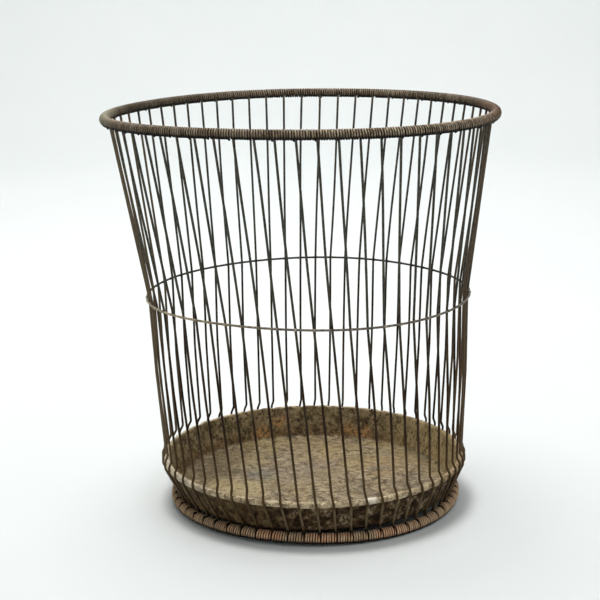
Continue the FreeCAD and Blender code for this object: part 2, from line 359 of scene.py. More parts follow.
def upright_path(number, rng):
    """One wire from its cut end on the top hoop to its cut end on the base hoop."""
    at_top, at_middle = top_angle(number), middle_angle(number)
    at_pan, at_base = pan_angle(number), base_angle(number)
    top_reach = TOP_WIRE + THICK
    base_reach = BASE_WIRE + THICK
    top_lean = math.radians(TOP_LEAN)
    base_lean = math.radians(BASE_LEAN)
    corners = (
        TOP.point(at_top, top_reach * math.cos(top_lean), top_reach * math.sin(top_lean)),
        MIDDLE.point(at_middle, MIDDLE_WIRE + WIRE + PLAY),
        BELLY.point((at_middle + at_pan) / 2),
        edge_ring(*BEND_ABOVE).point(at_pan),
        edge_ring(*BEND_OVER).point(at_pan + PAN_TWIST / 2),
        edge_ring(*BEND_UNDER).point(at_pan + PAN_TWIST),
        BASE.point(at_base, base_reach * math.cos(base_lean), base_reach * math.sin(base_lean)),
    )
    run = rounded_run(corners, BEND_RADII)

    # hand-drawn wire is never quite straight between its hoops
    sideways = np.cross(corners[0] - corners[-1], BASE.axes(np.asarray(at_base))[1])
    sideways /= np.linalg.norm(sideways)
    upper = ramp(run[:, 2], MIDDLE.height, TOP.height)
    lower = ramp(run[:, 2], LOWER_SPAN_END, MIDDLE.height)
    bow = rng.uniform(-UPPER_BOW, UPPER_BOW) * np.sin(math.pi * upper)
    bow += rng.uniform(-LOWER_BOW, LOWER_BOW) * np.sin(math.pi * lower)
    bow += rng.uniform(-UPPER_SWERVE, UPPER_SWERVE) * np.sin(2 * math.pi * upper)
    run = run + sideways * bow[:, None]

    # whole turns fill each bay, but for the part of a turn that the cut end falls short
    top_bay = TOP.radius * math.radians(top_angle(number + 1) - at_top)
    base_bay = BASE.radius * math.radians(base_angle(number + 1) - at_base)
    top_cells = round(top_bay / TOP_TURN_LENGTH)
    top_turns = top_cells - TOP_TURNS_SHORT + rng.uniform(-TOP_CUT_PLAY, TOP_CUT_PLAY)
    base_turns = BASE_TURNS + rng.uniform(-BASE_CUT_PLAY, BASE_CUT_PLAY)
    top_pitch = (top_bay - TOP_GAP) / top_cells
    base_pitch = (base_bay - BASE_GAP) / BASE_CELLS
    top_coil, top_core = coil(TOP, at_top, top_lean, top_turns, top_pitch, top_reach, 1, rng)
    base_coil, base_core = coil(
        BASE, at_base, base_lean, base_turns, base_pitch, base_reach, -1, rng
    )
    path = np.concatenate([top_coil[::-1], run[1:-1], base_coil])
    return path, top_core[::-1], base_core


def make_upright(number, material):
    """An upright, and how each point of its windings lies for the wear, painted highlights and
    painted shade in its material.
    """
    rng = random.Random(UPRIGHT_SEED + number)
    path, top_core, base_core = upright_path(number, rng)
    gap = np.linalg.norm(np.diff(path, axis=0), axis=1)
    run = np.concatenate([[0.0], np.cumsum(gap)])
    thick = wave_noise(rng, count=4, low=0.05, high=0.5)
    radii = THICK * (1 + THICKNESS_PLAY * thick(run))
    radii[[0, -1]] *= CUT_SHARE
    points, faces = tube(path, radii, TUBE_SIDES)
    name = f"upright_{number + 1:02d}"
    node = f"upright_pair_{number // 2 + 1:02d}"
    piece = new_piece(name, points, faces, node, material)

    # crest: how far a point stands out from its hoop; under: how far it faces down from it
    crest, under, wound = np.zeros((3, len(path), TUBE_SIDES))
    rings = points.reshape(len(path), TUBE_SIDES, 3)
    head = slice(0, len(top_core))
    foot = slice(len(path) - len(base_core), len(path))
    for part, core, bare in ((head, top_core, TOP_WIRE), (foot, base_core, BASE_WIRE)):
        away = rings[part] - core[:, None, :]
        reach = np.linalg.norm(away, axis=2)
        crest[part] = np.clip((reach - bare) / (2 * THICK), 0, 1)
        under[part] = np.clip(-away[..., 2] / reach, 0, 1)
        wound[part] = 1
    to_end = np.arange(len(base_core) - 1, -1, -1) / COIL_STEPS
    crest[foot] *= np.clip(END_CREST + END_CREST_RISE * to_end, 0, 1)[:, None]
    set_values(piece, "crest", crest)
    set_values(piece, "under", under)
    set_values(piece, "wound", wound)


# ---------------------------------------------------------------- hoops

MIDDLE_SEED = 77
MIDDLE_STEPS, MIDDLE_SIDES = 20, 14
CORE_STEPS, CORE_SIDES = 480, 16

# a dab of solder swells the middle hoop all round, and more towards its upright; between
# dabs the hoop draws in a little
DAB_SIZES, DAB_SHIFT, DAB_WIDTHS = (0.5, 1.0), 0.4, (1.0, 1.6)
DAB_ROUND, DAB_INWARD, HOOP_DIP = 0.28, 0.75, 0.10

# a core is a shade thinner than the CAD's, and wavers in waves of these counts round it
CORE_EASE, CORE_WAVER = 0.04, 0.012
CORE_WAVES = (9, 16, 23)


def make_middle_hoop(material):
    """The light hoop, with a dab of solder swelling it towards each upright."""
    rng = random.Random(MIDDLE_SEED)
    count = UPRIGHTS * MIDDLE_STEPS
    crossings = np.array([middle_angle(k) for k in range(UPRIGHTS + 1)])
    bays = zip(crossings, crossings[1:])
    angles = np.concatenate([np.linspace(a, b, MIDDLE_STEPS, endpoint=False) for a, b in bays])
    place, inward, _ = MIDDLE.axes(angles)
    offset = wrapped(np.radians(angles[:, None] - crossings[None, :-1])) * MIDDLE.radius
    size = np.array([rng.uniform(*DAB_SIZES) for _ in range(UPRIGHTS)])
    shift = np.array([rng.uniform(-DAB_SHIFT, DAB_SHIFT) for _ in range(UPRIGHTS)])
    width = np.array([rng.uniform(*DAB_WIDTHS) for _ in range(UPRIGHTS)])
    dab = (size * np.exp(-(((offset - shift) / width) ** 2))).sum(1)[:, None]
    turn = np.arange(MIDDLE_SIDES) * math.tau / MIDDLE_SIDES
    toward = np.clip(np.cos(turn)[None, :], 0, 1)
    radius = MIDDLE_WIRE + DAB_ROUND * dab + DAB_INWARD * dab * toward**2
    dip = HOOP_DIP * np.cos(math.tau * np.arange(count) / MIDDLE_STEPS)
    points = hoop_points(place - inward * dip[:, None], inward, radius, turn)
    piece = new_piece(
        "middle_hoop_soldered", points, grid_faces(count, MIDDLE_SIDES, closed=True),
        "middle_hoop", material,
    )
    set_values(piece, "dab", np.repeat(np.clip(dab, 0, 1), MIDDLE_SIDES, 1))
    set_values(piece, "outside", np.repeat(-np.cos(turn)[None, :], count, 0))


def make_core_hoop(name, ring, wire, node, material):
    """The heavy hoop inside a winding, with the slight waviness of hand-bent rod."""
    rng = random.Random(name)
    angles = np.arange(CORE_STEPS) * 360.0 / CORE_STEPS
    place, inward, _ = ring.axes(angles)
    turn = np.arange(CORE_SIDES) * math.tau / CORE_SIDES
    phases = [rng.uniform(0, math.tau) for _ in CORE_WAVES]
    waver = sum(np.cos(np.radians(angles) * n + p) for n, p in zip(CORE_WAVES, phases))
    radius = wire - CORE_EASE + CORE_WAVER * waver[:, None]
    points = hoop_points(place, inward, radius, turn)
    faces = grid_faces(CORE_STEPS, CORE_SIDES, closed=True)
    new_piece(name, points, faces, node, material)


# ---------------------------------------------------------------- pan

PAN_SEED = 5
PAN_SEGMENTS = 720
CORNER_STEPS, WALL_STEPS, EDGE_STEPS = 6, 6, 24
INNER_CORNER, OUTER_CORNER = 3.0, 2.2
FLOOR_RADII = (4, 11, 19, 28, 37, 46, 55, 64, 73, 82, 90, 98, 105, 111, 116)
UNDERSIDE_RADII = (112, 98, 80, 60, 40, 20, 4)

# the sheet rolls round the edge's wire and stops just short of its own wall, at a seam
SEAM_INSET, SEAM_OPENING = 0.35, 0.22

# how deep the sheet is dented: the floor's broad and fine waves, and the wall's
FLOOR_BROAD, FLOOR_FINE = 0.35, 0.13
WALL_FINE, WALL_RIPPLE = 0.35, 0.22

# where the denting sets in or dies out, from none to full: by distance from the axis on
# the floor, and by height
FLOOR_FADE, FLOOR_HEIGHT_FADE = (126, 116), (16.5, 15.0)
WALL_FOOT_FADE, WALL_TOP_FADE = (17, 23), (38, 33)

# the rolled edge's outer side, by distance from its centreline and above a height, and its
# top side, by height
EDGE_OUTER_FADE, EDGE_OUTER_FROM, EDGE_TOP_FADE = (-1.6, 1.4), 36, (40.5, 42.5)
EDGE_MARGIN = 0.1

# the rolled edge swells between the uprights and is nipped by each of them
NIP_WIDTH, EDGE_SWELL, EDGE_NIP = 2.2, 0.62, 1.15
TOP_RIPPLE, TOP_NIP = 0.22, 0.50

# the worn look of the edge ends this many degrees round its section from straight out, on
# the far and the near side, and fades over the last of them; on the far side its pale band
# over the top stands partly for a painted highlight
LIP_FAR, LIP_NEAR, LIP_FADE = 126.0, 165.0, 22.0


def pan_outline():
    """The pan's section from the axis out and back, as distances and heights."""
    slope = math.radians(PAN_SLOPE)
    low = PAN_FLOOR
    high = PAN_FLOOR + PAN_SHEET
    bore = BEAD_RADIUS - PAN_SHEET
    seam = math.radians(180 - PAN_SLOPE) + math.acos(bore / BEAD_RADIUS)
    bend = math.pi / 2 - slope

    def edge_point(radius, turn):
        return BEAD_REACH + radius * math.cos(turn), BEAD_HEIGHT + radius * math.sin(turn)

    def foot_of(top, level):
        """Where the wall's slope from a point above comes down to a level."""
        return top[0] - (top[1] - level) * math.tan(slope)

    def corner_points(foot, level, corner):
        """The bend from the floor up into the wall."""
        start = foot - corner * math.tan(bend / 2)
        turns = [bend * k / CORNER_STEPS for k in range(CORNER_STEPS + 1)]
        return [
            (start + corner * math.sin(turn), level + corner * (1 - math.cos(turn)))
            for turn in turns
        ]

    def straight(start, end):
        shares = [k / WALL_STEPS for k in range(1, WALL_STEPS + 1)]
        return [
            (start[0] + (end[0] - start[0]) * share, start[1] + (end[1] - start[1]) * share)
            for share in shares
        ]

    first = math.pi - slope
    wall_in = edge_point(BEAD_RADIUS, first)
    inner = corner_points(foot_of(wall_in, high), high, INNER_CORNER)
    last = seam - math.tau + SEAM_OPENING
    rolled = [
        edge_point(BEAD_RADIUS, first + (last - first) * k / EDGE_STEPS)
        for k in range(1, EDGE_STEPS + 1)
    ]
    wall_out = edge_point(BEAD_RADIUS - SEAM_INSET, seam)
    outer = corner_points(foot_of(wall_out, low), low, OUTER_CORNER)
    return [
        *((reach, high) for reach in FLOOR_RADII),
        *inner,
        *straight(inner[-1], wall_in),
        *rolled,
        wall_out,
        *straight(wall_out, outer[-1])[:-1],
        *outer[::-1],
        *((reach, low) for reach in UNDERSIDE_RADII),
    ]


def make_pan(material):
    """Sheet-metal pan: dented floor, sloping wall, and a rolled edge that the wires pinch."""
    outline = np.array(pan_outline())
    rows = len(outline)
    angles = np.arange(PAN_SEGMENTS) * 360.0 / PAN_SEGMENTS
    turn = np.radians(angles)
    radius = np.repeat(outline[:, 0][:, None], PAN_SEGMENTS, 1)
    height = np.repeat(outline[:, 1][:, None], PAN_SEGMENTS, 1)
    x = radius * np.cos(turn)
    y = radius * np.sin(turn)

    rng = random.Random(PAN_SEED)
    broad = plane_waves(rng, count=7, short=60, long=130)
    fine = plane_waves(rng, count=9, short=14, long=38)
    ripple = plane_waves(rng, count=9, short=9, long=20)
    floor = ramp(radius, *FLOOR_FADE) * ramp(height, *FLOOR_HEIGHT_FADE)
    height = height + floor * (FLOOR_BROAD * broad(x, y) + FLOOR_FINE * fine(x, y))
    wall = ramp(height, *WALL_FOOT_FADE) * ramp(height, *WALL_TOP_FADE)
    push = wall * (WALL_FINE * fine(x, y) + WALL_RIPPLE * ripple(x, y + height))

    pinches = np.array([pan_angle(k) for k in range(UPRIGHTS)])
    arc = wrapped(np.radians(angles[:, None] - pinches[None, :])) * BEAD_REACH
    nip = np.exp(-((arc / NIP_WIDTH) ** 2)).sum(1)[None, :]
    outer_side = ramp(radius - BEAD_REACH, *EDGE_OUTER_FADE) * (height > EDGE_OUTER_FROM)
    push = push + outer_side * (EDGE_SWELL - EDGE_NIP * nip)
    top_side = ramp(height, *EDGE_TOP_FADE)
    height = height + top_side * (TOP_RIPPLE * ripple(x, y) - TOP_NIP * nip)
    radius = radius + push
    points = np.stack([PAN_X + radius * np.cos(turn), radius * np.sin(turn), height], -1)
    points = points.reshape(-1, 3).tolist()

    # the sheet's two faces close at a hub each, on the axis
    faces = grid_faces(rows, PAN_SEGMENTS, flip=True)
    for row, flip in ((0, False), (rows - 1, True)):
        hub = len(points)
        ring = [row * PAN_SEGMENTS + j for j in range(PAN_SEGMENTS)]
        points.append([PAN_X, 0.0, float(np.mean([points[k][2] for k in ring]))])
        for a, b in zip(ring, ring[1:] + ring[:1]):
            faces.append((hub, b, a) if flip else (hub, a, b))
    piece = new_piece("pan_sheet_metal", points, faces, "pan", material)

    # lip: the worn rolled edge, on the far side partly a painted highlight; outer: the outside
    # and underside; the hubs come last
    across, above = outline[:, 0] - BEAD_REACH, outline[:, 1] - BEAD_HEIGHT
    around = np.abs(np.degrees(np.arctan2(above, across)))
    on_edge = np.hypot(above, across) < BEAD_RADIUS + EDGE_MARGIN
    lip_end = np.where(np.sin(turn) > 0, LIP_FAR, LIP_NEAR)
    lip = on_edge[:, None] * ramp(around[:, None], lip_end, lip_end - LIP_FADE)
    seam_row = int(np.nonzero(on_edge)[0][-1])
    outer = np.repeat((np.arange(rows) > seam_row)[:, None], PAN_SEGMENTS, 1)
    set_values(piece, "lip", np.append(lip.ravel(), [0.0, 0.0]))
    set_values(piece, "outer", np.append(outer.ravel(), [0.0, 1.0]))


# ---------------------------------------------------------------- materials


def srgb(red, green, blue):
    """A colour as eyes and screens number it, 0 to 255, in the linear form shaders take."""

    def linear(value):
        value /= 255.0
        return value / 12.92 if value <= 0.04045 else ((value + 0.055) / 1.055) ** 2.4

    return (linear(red), linear(green), linear(blue), 1.0)


class Shader:
    """A material's nodes, with one short call for each kind that is used."""

    # noise is looked up away from the origin, where it would show its lattice
    NOISE_PLACE = (0.731, 0.417, 0.293)

    def __init__(self, name):
        self.material = bpy.data.materials.new(name)
        self.material.use_nodes = True
        self.tree = self.material.node_tree
        self.tree.nodes.clear()
        output = self.tree.nodes.new("ShaderNodeOutputMaterial")
        self.surface = self.tree.nodes.new("ShaderNodeBsdfPrincipled")
        self.tree.links.new(self.surface.outputs["BSDF"], output.inputs["Surface"])
        coordinates = self.tree.nodes.new("ShaderNodeTexCoord")
        self.place = coordinates.outputs["Object"]
        self.grain_place = self.drawn_out(1.0)

    def feed(self, socket, value):
        """Links a socket, or sets it to a plain value."""
        if isinstance(value, bpy.types.NodeSocket):
            self.tree.links.new(value, socket)
        else:
            socket.default_value = value

    def math(self, operation, *values):
        node = self.tree.nodes.new("ShaderNodeMath")
        node.operation = operation
        for socket, value in zip(node.inputs, values):
            self.feed(socket, value)
        return node.outputs[0]

    def product(self, first, *others):
        for other in others:
            first = self.math("MULTIPLY", first, other)
        return first

    def line(self, value, slope, start):
        """A straight line: start, and slope times the value more."""
        return self.math("MULTIPLY_ADD", value, slope, start)

    def length(self, *offsets):
        total, *others = (self.math("MULTIPLY", offset, offset) for offset in offsets)
        for square in others:
            total = self.math("ADD", total, square)
        return self.math("SQRT", total)

    def between(self, value, low, high):
        """0 at low, 1 at high, smooth between; low may be the larger."""
        node = self.tree.nodes.new("ShaderNodeMapRange")
        node.interpolation_type = "SMOOTHSTEP"
        rising = low < high
        self.feed(node.inputs["Value"], value)
        node.inputs["From Min"].default_value = low if rising else high
        node.inputs["From Max"].default_value = high if rising else low
        node.inputs["To Min"].default_value = 0.0 if rising else 1.0
        node.inputs["To Max"].default_value = 1.0 if rising else 0.0
        return node.outputs["Result"]

    def drawn_out(self, z_scale):
        """Coordinates for noise; a z scale below 1 draws it out into upright streaks."""
        node = self.tree.nodes.new("ShaderNodeMapping")
        self.feed(node.inputs["Vector"], self.place)
        node.inputs["Location"].default_value = self.NOISE_PLACE
        node.inputs["Scale"].default_value = (1.0, 1.0, z_scale)
        return node.outputs["Vector"]

    def noise(self, scale, detail=4.0, roughness=0.55, distortion=0.0, z_scale=None):
        node = self.tree.nodes.new("ShaderNodeTexNoise")
        where = self.grain_place if z_scale is None else self.drawn_out(z_scale)
        self.feed(node.inputs["Vector"], where)
        node.inputs["Scale"].default_value = scale
        node.inputs["Detail"].default_value = detail
        node.inputs["Roughness"].default_value = roughness
        node.inputs["Distortion"].default_value = distortion
        return node.outputs["Fac"]

    def mix(self, share, under, over):
        node = self.tree.nodes.new("ShaderNodeMix")
        node.data_type = "RGBA"
        self.feed(node.inputs["Factor"], share)
        self.feed(node.inputs["A"], under)
        self.feed(node.inputs["B"], over)
        return node.outputs["Result"]

    def coat(self, share, strength, under, over):
        """A colour laid over another by a share of a strength."""
        return self.mix(self.product(share, strength), under, over)

    def attribute(self, name):
        node = self.tree.nodes.new("ShaderNodeAttribute")
        node.attribute_name = name
        return node.outputs["Fac"]

    def position(self):
        node = self.tree.nodes.new("ShaderNodeSeparateXYZ")
        self.feed(node.inputs[0], self.place)
        return node.outputs

    def finish(self, colour, roughness, height, bump_strength, bump_distance, metallic, gloss):
        self.surface.inputs["Specular IOR Level"].default_value = gloss
        self.feed(self.surface.inputs["Base Color"], colour)
        self.feed(self.surface.inputs["Roughness"], roughness)
        self.feed(self.surface.inputs["Metallic"], metallic)
        bump = self.tree.nodes.new("ShaderNodeBump")
        bump.inputs["Strength"].default_value = bump_strength
        bump.inputs["Distance"].default_value = bump_distance
        self.feed(bump.inputs["Height"], height)
        self.feed(self.surface.inputs["Normal"], bump.outputs["Normal"])
        return self.material


def wire_material():
    """Old steel wire: near black with an olive bloom; its wound rolls are browner and worn, with
    painted highlights on their crests and painted shade in their grooves and undersides.
    """
    soot_low, umber_low = srgb(32, 19, 8), srgb(58, 38, 18)
    soot_high, slate_high = srgb(52, 51, 45), srgb(88, 86, 78)
    olive, rubbed_pale, front_tan = srgb(92, 80, 58), srgb(148, 136, 116), srgb(98, 78, 50)
    dusty, film_right, film_left = srgb(128, 112, 86), srgb(100, 82, 62), srgb(110, 94, 72)
    rim_light, rim_brown, rim_grey = srgb(127, 113, 96), srgb(98, 82, 65), srgb(131, 125, 105)
    rim_shade, rim_rust = srgb(72, 64, 51), srgb(88, 64, 47)
    foot_light, foot_brown = srgb(190, 156, 121), srgb(168, 139, 107)
    foot_red = srgb(200, 144, 109)
    groove_shade, worn_metal_highlight, underside_shade = srgb(8, 5, 3), srgb(218, 198, 170), srgb(10, 6, 4)

    s = Shader("aged_wire")
    x, y, z = s.position()
    patch = s.noise(38.0, detail=5.0, roughness=0.6, distortion=0.4)
    mottle = s.noise(420.0, detail=5.0, roughness=0.62, distortion=0.3)
    grain = s.noise(1500.0, detail=3.0, roughness=0.6)
    streak = s.noise(420.0, detail=4.0, roughness=0.6, z_scale=0.07)
    long_streak = s.noise(120.0, detail=3.0, roughness=0.5, z_scale=0.05)
    crest = s.attribute("crest")
    wound = s.attribute("wound")

    # 1 at the basket's left and right ends, 0 in the middle of its front and back
    side = s.math("DIVIDE", s.math("ABSOLUTE", x), s.length(x, y))

    # the bare wires, greyer towards the rim
    mottled = s.between(mottle, 0.36, 0.66)
    low_tone = s.mix(mottled, soot_low, umber_low)
    high_tone = s.mix(mottled, soot_high, slate_high)
    bare = s.mix(s.between(z, 0.12, 0.26), low_tone, high_tone)
    bare = s.coat(s.between(streak, 0.52, 0.68), 0.6, bare, olive)

    # the last of each wire, where it lies against the rim's roll, is rubbed pale
    rubbed = s.product(s.between(z, 0.350, 0.355), s.between(side, 0.9, 0.6))
    bare = s.coat(rubbed, 0.75, bare, rubbed_pale)

    # the front wires are rubbed paler as they near the pan's edge, and dusty under it
    near = s.product(s.between(z, 0.100, 0.060), s.between(y, 0.0, -0.07))
    bare = s.coat(near, 0.5, bare, front_tan)
    dust = s.product(
        s.between(z, 0.038, 0.033), s.between(y, -0.08, -0.11),
        s.between(x, -0.060, -0.010), s.between(streak, 0.30, 0.50),
    )
    bare = s.coat(dust, 0.6, bare, dusty)

    # the two ends, where the wires crowd together in the view, have kept a brown film
    filmed = s.product(s.between(side, 0.88, 0.97), s.between(long_streak, 0.30, 0.46))
    film = s.mix(s.between(x, 0.05, -0.05), film_right, film_left)
    bare = s.coat(filmed, 0.75, bare, film)

    # the rolls: even tone along each turn, so that only the painted shade in the grooves between
    # turns is dark
    rim = s.mix(s.between(patch, 0.40, 0.62), rim_light, rim_brown)
    left_end = s.product(s.between(x, -0.164, -0.180), s.between(y, 0.05, -0.01))
    rim = s.mix(left_end, rim, rim_grey)
    # painted shade on the far flanks of the rim, towards its left and right
    flank = s.product(s.between(side, 0.50, 0.80), s.between(y, 0.0, 0.05))
    rim = s.coat(flank, 0.65, rim, rim_shade)
    right_end = s.product(s.between(x, 0.120, 0.156), s.between(y, 0.06, 0.0))
    rim = s.coat(right_end, 0.7, rim, rim_rust)
    foot = s.mix(s.between(patch, 0.42, 0.60), foot_light, foot_brown)
    front = s.product(s.between(y, -0.095, -0.118), s.between(patch, 0.58, 0.44))
    foot = s.coat(front, 0.8, foot, foot_red)
    roll = s.mix(s.between(z, 0.1, 0.2), foot, rim)
    # painted shade: near black in the grooves between turns, where the crest is low
    roll = s.mix(s.between(crest, 0.98, 0.74), roll, groove_shade)

    # painted highlights on the crests, together with crests worn to the metal by hands, most at
    # the front and on the right
    handled = s.product(
        s.line(s.between(x, -0.09, 0.06), 0.40, 0.34), s.line(s.between(y, 0.12, 0.02), 0.5, 0.5)
    )
    worn_and_highlight = s.product(
        s.between(crest, 0.92, 1.0), s.between(mottle, 0.40, 0.60), wound,
        handled, s.between(side, 0.97, 0.85),
    )
    # painted highlight and real wear: pale crests of the turns
    roll = s.mix(worn_and_highlight, roll, worn_metal_highlight)
    # painted shade: the undersides of the rolls darken to near black where they face down
    roll = s.mix(s.between(s.attribute("under"), 0.0, 0.62), roll, underside_shade)
    colour = s.mix(wound, bare, roll)

    return s.finish(
        colour,
        roughness=s.line(mottle, 0.3, 0.34),
        height=s.math("ADD", s.product(mottle, 0.7), s.product(grain, 0.3)),
        bump_strength=0.4,
        bump_distance=0.0003,
        metallic=s.line(worn_and_highlight, 0.25, 0.1),
        gloss=0.1,
    )


def hoop_material():
    """The light hoop: dull tan film outside, near black inside, and pale solder dabs."""
    film_dark, film_light = srgb(74, 67, 58), srgb(124, 114, 100)
    tan_dark, tan_light = srgb(126, 113, 90), srgb(176, 162, 134)
    inside_dark, inside_light = srgb(34, 30, 24), srgb(62, 57, 48)
    rust, solder = srgb(88, 66, 48), srgb(182, 168, 148)

    s = Shader("soldered_hoop")
    x, _, _ = s.position()
    mottle = s.noise(300.0, detail=5.0, roughness=0.6, distortion=0.3)
    patch = s.noise(45.0, detail=4.0, roughness=0.6)
    mottled = s.between(mottle, 0.38, 0.62)
    film = s.mix(mottled, film_dark, film_light)
    tan = s.mix(mottled, tan_dark, tan_light)
    film = s.mix(s.between(x, -0.02, -0.11), film, tan)
    film = s.coat(s.between(patch, 0.50, 0.66), 0.5, film, rust)
    inside = s.mix(mottled, inside_dark, inside_light)
    colour = s.mix(s.between(s.attribute("outside"), -0.3, 0.4), inside, film)
    dab = s.product(s.between(s.attribute("dab"), 0.35, 0.85), s.between(mottle, 0.36, 0.56))
    colour = s.mix(dab, colour, solder)
    return s.finish(
        colour,
        roughness=s.line(mottle, 0.3, 0.38),
        height=mottle,
        bump_strength=0.45,
        bump_distance=0.0004,
        metallic=0.15,
        gloss=0.3,
    )


# where the far wall of the pan has rusted through its film: x, y, z and size
RUST_SPOTS = (
    (-0.0537, 0.1173, 0.0205, 0.0130),
    (-0.0355, 0.1263, 0.0287, 0.0095),
    (0.0325, 0.1245, 0.0240, 0.0085),
    (0.0400, 0.1205, 0.0180, 0.0095),
    (0.0520, 0.1166, 0.0200, 0.0080),
)

# a painted highlight on the rolled edge, a bright spot coloured like bare metal: x, y, z and size
EDGE_HIGHLIGHT_SPOT = (0.0483, -0.1282, 0.0425, 0.0065)

# stains on the pan's floor, at its upper surface: x, y, size, strength and colour; the first,
# # dark by the left wall, is partly rust and partly a painted shadow of the wall
FLOOR_TOP = (PAN_FLOOR + PAN_SHEET) * MM
FLOOR_STAINS = (
    # partly rust, partly painted shadow of the left wall
    (-0.118, 0.052, 0.078, 0.80, (80, 69, 53)),
    (0.116, 0.062, 0.052, 0.70, (86, 79, 57)),
    (-0.010, 0.022, 0.050, 0.50, (124, 112, 98)),
    (-0.070, -0.026, 0.036, 0.60, (166, 150, 110)),
    (0.080, 0.046, 0.044, 0.45, (156, 132, 96)),
    (-0.004, 0.094, 0.040, 0.40, (146, 126, 92)),
    (-0.052, 0.014, 0.024, 0.65, (88, 92, 88)),
)

# a stain's outline strays by this many times its size, and it is full in to this share of it
STAIN_RAGGED, STAIN_CORE = 3.0, 0.3


def pan_material():
    """Weathered galvanised sheet: flecked floor, mottled dark wall, worn edge with painted
    highlights, dark outside with painted shade beneath.
    """
    s = Shader("weathered_sheet")
    x, y, z = s.position()
    broad = s.noise(14.0, detail=5.0, roughness=0.6, distortion=0.6)
    blotch = s.noise(52.0, detail=6.0, roughness=0.68, distortion=0.5)
    smear = s.noise(26.0, detail=6.0, roughness=0.7, distortion=0.8)
    vein = s.noise(150.0, detail=6.0, roughness=0.72, distortion=0.35)
    mottle = s.noise(330.0, detail=6.0, roughness=0.65, distortion=0.4)
    grain = s.noise(900.0, detail=4.0, roughness=0.65)
    drip = s.noise(240.0, detail=4.0, roughness=0.6, z_scale=0.12)

    def stain(place, size, ragged):
        """A ragged patch about a place, fading out at its size."""
        offsets = (s.math("SUBTRACT", axis, middle) for axis, middle in zip((x, y, z), place))
        stray = s.product(s.math("SUBTRACT", ragged, 0.5), STAIN_RAGGED * size)
        reach = s.math("ADD", s.length(*offsets), stray)
        return s.between(reach, size, STAIN_CORE * size)

    # the floor: a flecked film, its stains, and flecks over both
    floor = s.mix(s.between(vein, 0.39, 0.59), srgb(76, 63, 45), srgb(164, 148, 120))
    floor = s.coat(s.between(blotch, 0.50, 0.60), 0.65, floor, srgb(92, 78, 58))
    floor = s.coat(s.between(smear, 0.48, 0.58), 0.45, floor, srgb(114, 106, 90))
    floor = s.coat(s.between(smear, 0.46, 0.38), 0.5, floor, srgb(162, 142, 98))
    floor = s.coat(s.between(broad, 0.50, 0.60), 0.35, floor, srgb(146, 130, 84))
    for across, along, size, strength, colour in FLOOR_STAINS:
        patch = stain((across, along, FLOOR_TOP), size, smear)
        floor = s.coat(patch, strength, floor, srgb(*colour))
    floor = s.coat(s.between(vein, 0.44, 0.36), 0.45, floor, srgb(66, 53, 38))
    floor = s.coat(s.between(vein, 0.57, 0.66), 0.4, floor, srgb(178, 162, 130))
    floor = s.coat(s.between(mottle, 0.46, 0.36), 0.65, floor, srgb(58, 45, 30))
    floor = s.coat(s.between(mottle, 0.56, 0.66), 0.5, floor, srgb(184, 168, 136))
    rusty = s.product(s.between(grain, 0.56, 0.64), s.between(blotch, 0.46, 0.56))
    floor = s.coat(rusty, 0.5, floor, srgb(166, 118, 74))

    # the wall's inside: dark mottling, rust low down, pale drips on the right, rust spots
    wall = s.mix(s.between(vein, 0.36, 0.62), srgb(64, 51, 34), srgb(156, 136, 102))
    wall = s.coat(s.between(blotch, 0.48, 0.62), 0.6, wall, srgb(58, 49, 34))
    wall = s.coat(s.between(broad, 0.50, 0.60), 0.4, wall, srgb(106, 95, 61))
    low = s.product(s.between(z, 0.028, 0.016), s.between(vein, 0.40, 0.56))
    wall = s.coat(low, 0.6, wall, srgb(108, 70, 42))
    drips = s.product(s.between(x, 0.055, 0.105), s.between(drip, 0.36, 0.56))
    wall = s.coat(drips, 0.8, wall, srgb(170, 149, 107))
    wall = s.coat(s.between(mottle, 0.55, 0.63), 0.7, wall, srgb(166, 150, 116))
    wall = s.coat(s.between(mottle, 0.45, 0.37), 0.75, wall, srgb(20, 14, 7))
    flecks = s.between(mottle, 0.42, 0.56)
    for *place, size in RUST_SPOTS:
        wall = s.coat(s.product(stain(place, size, vein), flecks), 0.75, wall, srgb(188, 142, 92))
    colour = s.mix(s.between(z, 0.0135, 0.0165), floor, wall)

    # the rolled edge: pale and flecked, browner to the right, with a painted highlight spot
    *highlight_place, highlight_size = EDGE_HIGHLIGHT_SPOT
    edge = s.mix(s.between(vein, 0.38, 0.58), srgb(116, 98, 72), srgb(196, 178, 146))
    edge = s.coat(s.between(mottle, 0.56, 0.66), 0.8, edge, srgb(228, 214, 186))
    edge = s.coat(s.between(mottle, 0.44, 0.36), 0.7, edge, srgb(70, 54, 34))
    edge = s.coat(s.between(x, 0.080, 0.120), 0.6, edge, srgb(126, 102, 72))
    # painted highlight: a bright spot on the rolled edge
    edge = s.coat(stain(highlight_place, highlight_size, mottle), 0.9, edge, srgb(226, 220, 206))
    edge = s.coat(s.between(x, -0.080, -0.120), 0.5, edge, srgb(196, 188, 168))
    # the pale edge is partly a painted highlight on the far side, where it ends just past the top
    colour = s.mix(s.attribute("lip"), colour, edge)

    # the outside: near black, mossy to the left, pale flecks to the right, painted shade beneath
    back = s.mix(s.between(vein, 0.38, 0.62), srgb(29, 18, 8), srgb(92, 70, 46))
    brown = s.product(s.between(x, -0.02, -0.08), s.between(blotch, 0.40, 0.60))
    back = s.coat(brown, 0.75, back, srgb(84, 62, 40))
    moss = s.product(s.between(x, -0.03, -0.08), s.between(vein, 0.46, 0.60))
    back = s.coat(moss, 0.7, back, srgb(116, 100, 66))
    pale = s.product(s.between(vein, 0.50, 0.64), s.between(x, -0.06, 0.02), flecks)
    back = s.coat(pale, 0.85, back, srgb(172, 158, 130))
    # painted shade: the underside and the foot of the outside are near black below about 13 mm
    back = s.mix(s.between(z, 0.0150, 0.0125), back, srgb(16, 11, 7))
    colour = s.mix(s.attribute("outer"), colour, back)

